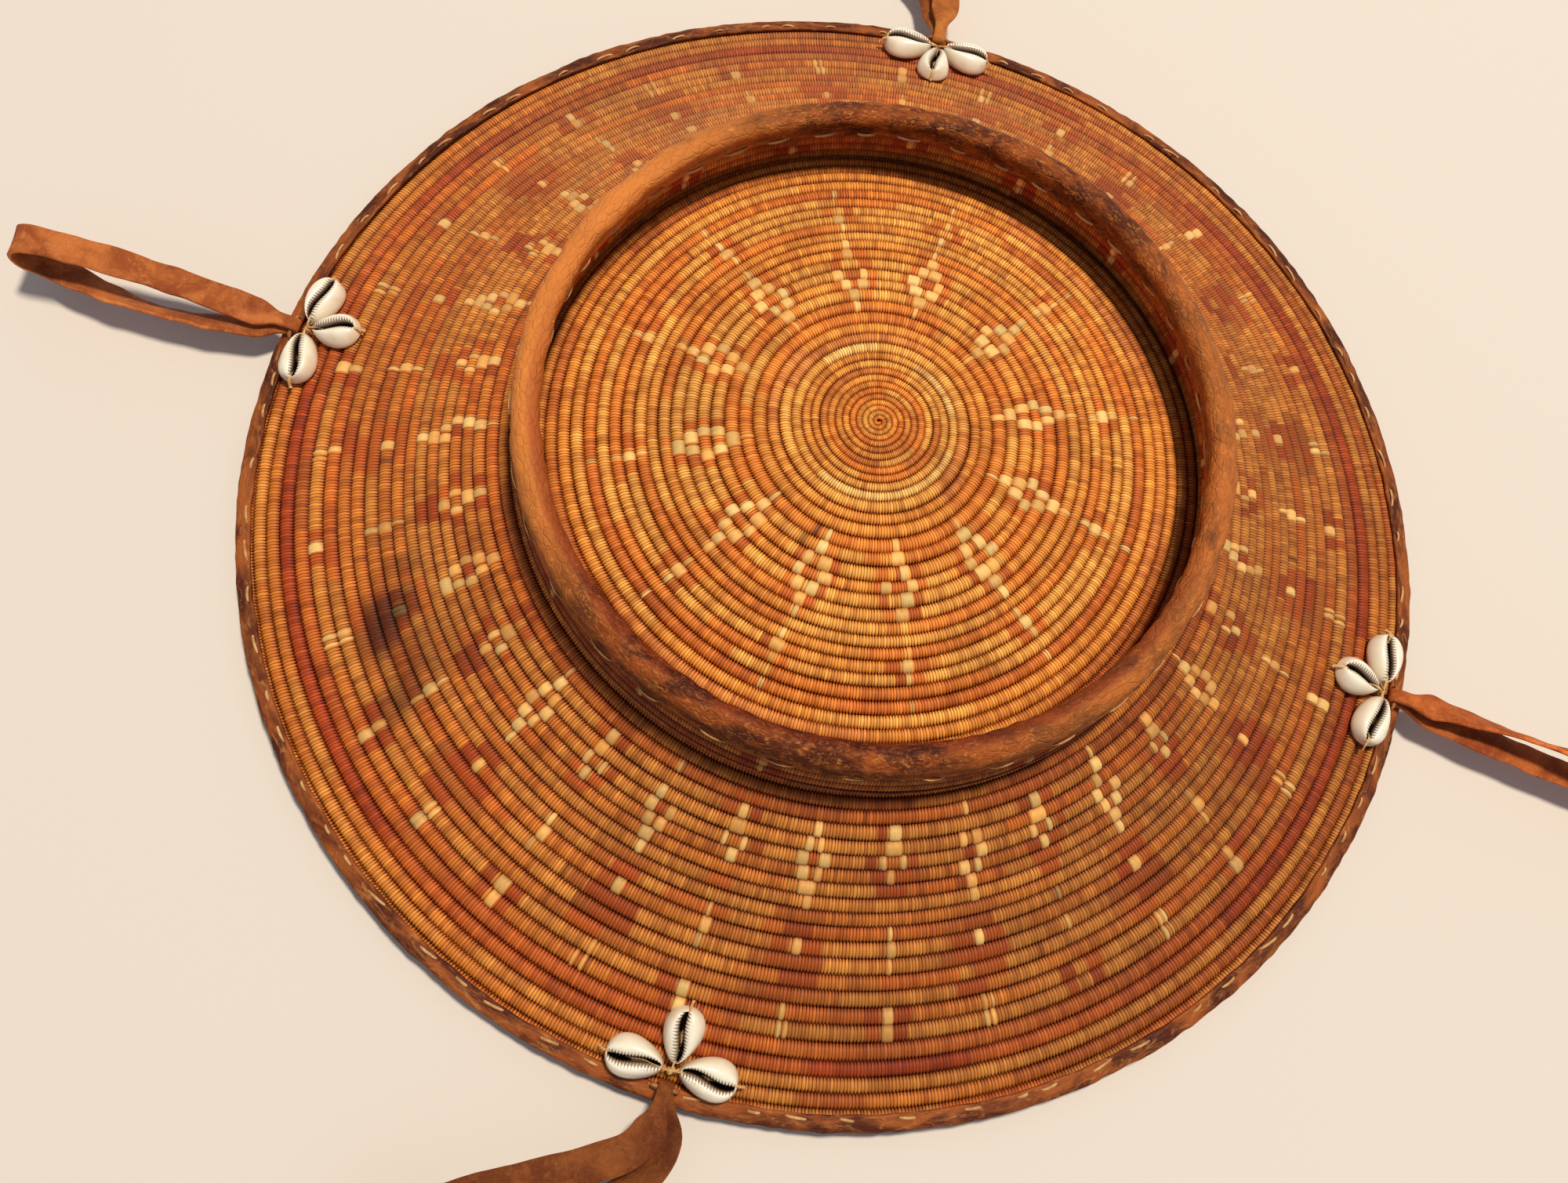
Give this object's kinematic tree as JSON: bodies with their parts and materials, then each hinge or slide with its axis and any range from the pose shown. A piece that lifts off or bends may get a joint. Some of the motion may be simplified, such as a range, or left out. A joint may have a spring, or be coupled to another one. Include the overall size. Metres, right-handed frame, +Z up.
{
  "type": "cowrie shell basket",
  "caption": "Shallow coiled basket with a foot ring and leather-bound edges; cowrie flowers and leather hanging loops sit on its rim.",
  "frame": {"origin": "centre of the rim, on the surface that the basket lies on mouth down", "axes": "+Z up, from the mouth to the foot ring; -Y is towards the front of the picture"},
  "size_m": [0.6543, 0.5884, 0.0926],
  "materials": {
    "straw": "dyed plant splints wrapped over a straw core, matt",
    "rim_leather": "dark red-brown, worn",
    "roll_leather": "mottled brown, polished by handling",
    "strap_leather": "orange-tan, rough",
    "shell": "natural shell gloss",
    "thong": "natural plant fibre"
  },
  "bodies": {
    "basket": {"dish_coil": "straw", "foot_coil": "straw", "foot_leather_roll": "roll_leather", "rim_leather_binding": "rim_leather", "cowrie_front_left": "shell", "cowrie_front_middle": "shell", "cowrie_front_right": "shell", "cowrie_left_left": "shell", "cowrie_left_middle": "shell", "cowrie_left_right": "shell", "cowrie_right_left": "shell", "cowrie_right_middle": "shell", "cowrie_right_right": "shell", "cowrie_back_left": "shell", "cowrie_back_middle": "shell", "cowrie_back_right": "shell", "shell_tie_front": "thong", "shell_tie_left": "thong", "shell_tie_right": "thong", "shell_tie_back": "thong", "strap_stitch_front": "thong", "strap_stitch_left": "thong", "strap_stitch_right": "thong", "strap_stitch_back": "thong"},
    "strap_front": {"strap_loop_front": "strap_leather"},
    "strap_left": {"strap_loop_left": "strap_leather"},
    "strap_right": {"strap_loop_right": "strap_leather"},
    "strap_back": {"strap_loop_back": "strap_leather"}
  },
  "joints": [
    {"name": "strap_front_swing", "type": "hinge", "parent": "basket", "child": "strap_front", "pos_m": [0.01465, -0.21485, 0.013], "axis": [-0.9977, -0.068, 0], "range_deg": [-6, 115]},
    {"name": "strap_left_swing", "type": "hinge", "parent": "basket", "child": "strap_left", "pos_m": [-0.21474, -0.01615, 0.013], "axis": [-0.075, 0.9972, 0], "range_deg": [-6, 115]},
    {"name": "strap_right_swing", "type": "hinge", "parent": "basket", "child": "strap_right", "pos_m": [0.21525, 0.00639, 0.013], "axis": [0.0297, -0.9996, 0], "range_deg": [-6, 115]},
    {"name": "strap_back_swing", "type": "hinge", "parent": "basket", "child": "strap_back", "pos_m": [-0.03554, 0.21239, 0.013], "axis": [0.9863, 0.165, 0], "range_deg": [-6, 115]}
  ]
}
